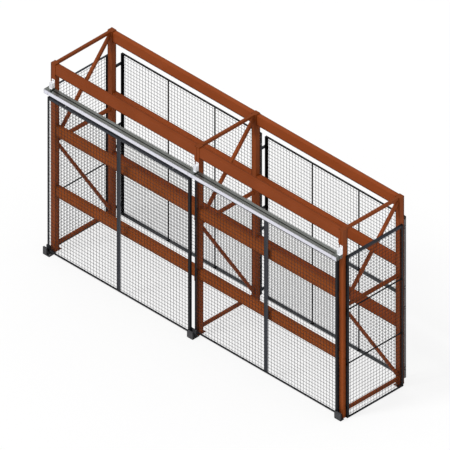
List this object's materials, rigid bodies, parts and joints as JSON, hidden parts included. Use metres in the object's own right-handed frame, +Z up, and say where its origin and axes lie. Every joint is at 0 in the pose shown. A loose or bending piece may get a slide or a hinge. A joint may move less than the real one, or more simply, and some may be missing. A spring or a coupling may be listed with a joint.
{
  "type": "pallet rack enclosure",
  "caption": "Pallet rack closed at the back and ends with wire panels, with wire mesh sliding doors hung from box tracks across the front.",
  "frame": {"origin": "on the floor, in the middle of the whole footprint", "axes": "+X along the row to the right as seen from the doors, +Y from the doors to the back, +Z up"},
  "size_m": [5.169, 1.303, 2.8385],
  "materials": {
    "frame_paint": "satin",
    "beam_paint": "satin",
    "panel_paint": "satin",
    "wire_paint": "satin",
    "zinc_sheet": "satin",
    "strap_steel": "satin",
    "hanger_paint": "satin",
    "guide_steel": "satin",
    "trolley_steel": "satin",
    "wheel_steel": "polished"
  },
  "bodies": {
    "rack": {"front_post_left": "frame_paint", "rear_post_left": "frame_paint", "frame_struts_left": "frame_paint", "frame_diagonals_left": "frame_paint", "front_post_middle": "frame_paint", "rear_post_middle": "frame_paint", "frame_struts_middle": "frame_paint", "frame_diagonals_middle": "frame_paint", "front_post_right": "frame_paint", "rear_post_right": "frame_paint", "frame_struts_right": "frame_paint", "frame_diagonals_right": "frame_paint", "base_plates": "frame_paint", "front_beam_left_low": "beam_paint", "rear_beam_left_low": "beam_paint", "front_beam_left_middle": "beam_paint", "rear_beam_left_middle": "beam_paint", "front_beam_left_top": "beam_paint", "rear_beam_left_top": "beam_paint", "front_beam_right_low": "beam_paint", "rear_beam_right_low": "beam_paint", "front_beam_right_middle": "beam_paint", "rear_beam_right_middle": "beam_paint", "front_beam_right_top": "beam_paint", "rear_beam_right_top": "beam_paint", "rear_frame_left_lower": "panel_paint", "rear_mesh_left_lower": "wire_paint", "rear_frame_left_upper": "panel_paint", "rear_mesh_left_upper": "wire_paint", "rear_frame_right_lower": "panel_paint", "rear_mesh_right_lower": "wire_paint", "rear_frame_right_upper": "panel_paint", "rear_mesh_right_upper": "wire_paint", "end_frame_left": "panel_paint", "end_mesh_left": "wire_paint", "end_frame_right": "panel_paint", "end_mesh_right": "wire_paint", "rear_panel_brackets": "panel_paint", "end_panel_clips": "panel_paint", "front_track": "zinc_sheet", "rear_track": "zinc_sheet", "track_stops": "zinc_sheet", "track_straps": "strap_steel", "track_hangers": "hanger_paint", "floor_guides": "guide_steel"},
    "front_door": {"front_door_frame_left": "panel_paint", "front_door_frame_right": "panel_paint", "front_door_mesh_left": "wire_paint", "front_door_mesh_right": "wire_paint", "front_door_trolleys": "trolley_steel"},
    "rear_door": {"rear_door_frame_left": "panel_paint", "rear_door_frame_right": "panel_paint", "rear_door_mesh_left": "wire_paint", "rear_door_mesh_right": "wire_paint", "rear_door_trolleys": "trolley_steel"},
    "front_left_wheelset": {"front_door_wheels_left": "wheel_steel"},
    "front_right_wheelset": {"front_door_wheels_right": "wheel_steel"},
    "rear_left_wheelset": {"rear_door_wheels_left": "wheel_steel"},
    "rear_right_wheelset": {"rear_door_wheels_right": "wheel_steel"}
  },
  "joints": [
    {"name": "front_door_slide", "type": "slide", "parent": "rack", "child": "front_door", "axis": [1, 0, 0], "range_m": [0, 2.47]},
    {"name": "rear_door_slide", "type": "slide", "parent": "rack", "child": "rear_door", "axis": [-1, 0, 0], "range_m": [0, 2.48]},
    {"name": "front_left_wheel_spin", "type": "hinge", "parent": "front_door", "child": "front_left_wheelset", "pos_m": [-2.2073, -0.60829, 2.44755], "axis": [0, 1, 0], "continuous": true},
    {"name": "front_right_wheel_spin", "type": "hinge", "parent": "front_door", "child": "front_right_wheelset", "pos_m": [-0.3277, -0.60829, 2.44755], "axis": [0, 1, 0], "continuous": true},
    {"name": "rear_left_wheel_spin", "type": "hinge", "parent": "rear_door", "child": "rear_left_wheelset", "pos_m": [0.3073, -0.55114, 2.44755], "axis": [0, 1, 0], "continuous": true},
    {"name": "rear_right_wheel_spin", "type": "hinge", "parent": "rear_door", "child": "rear_right_wheelset", "pos_m": [2.1869, -0.55114, 2.44755], "axis": [0, 1, 0], "continuous": true}
  ],
  "couplings": [
    {"joint": "front_left_wheel_spin", "follows": "front_door_slide", "rad_per_m": 52.493},
    {"joint": "front_right_wheel_spin", "follows": "front_door_slide", "rad_per_m": 52.493},
    {"joint": "rear_left_wheel_spin", "follows": "rear_door_slide", "rad_per_m": -52.493},
    {"joint": "rear_right_wheel_spin", "follows": "rear_door_slide", "rad_per_m": -52.493}
  ]
}
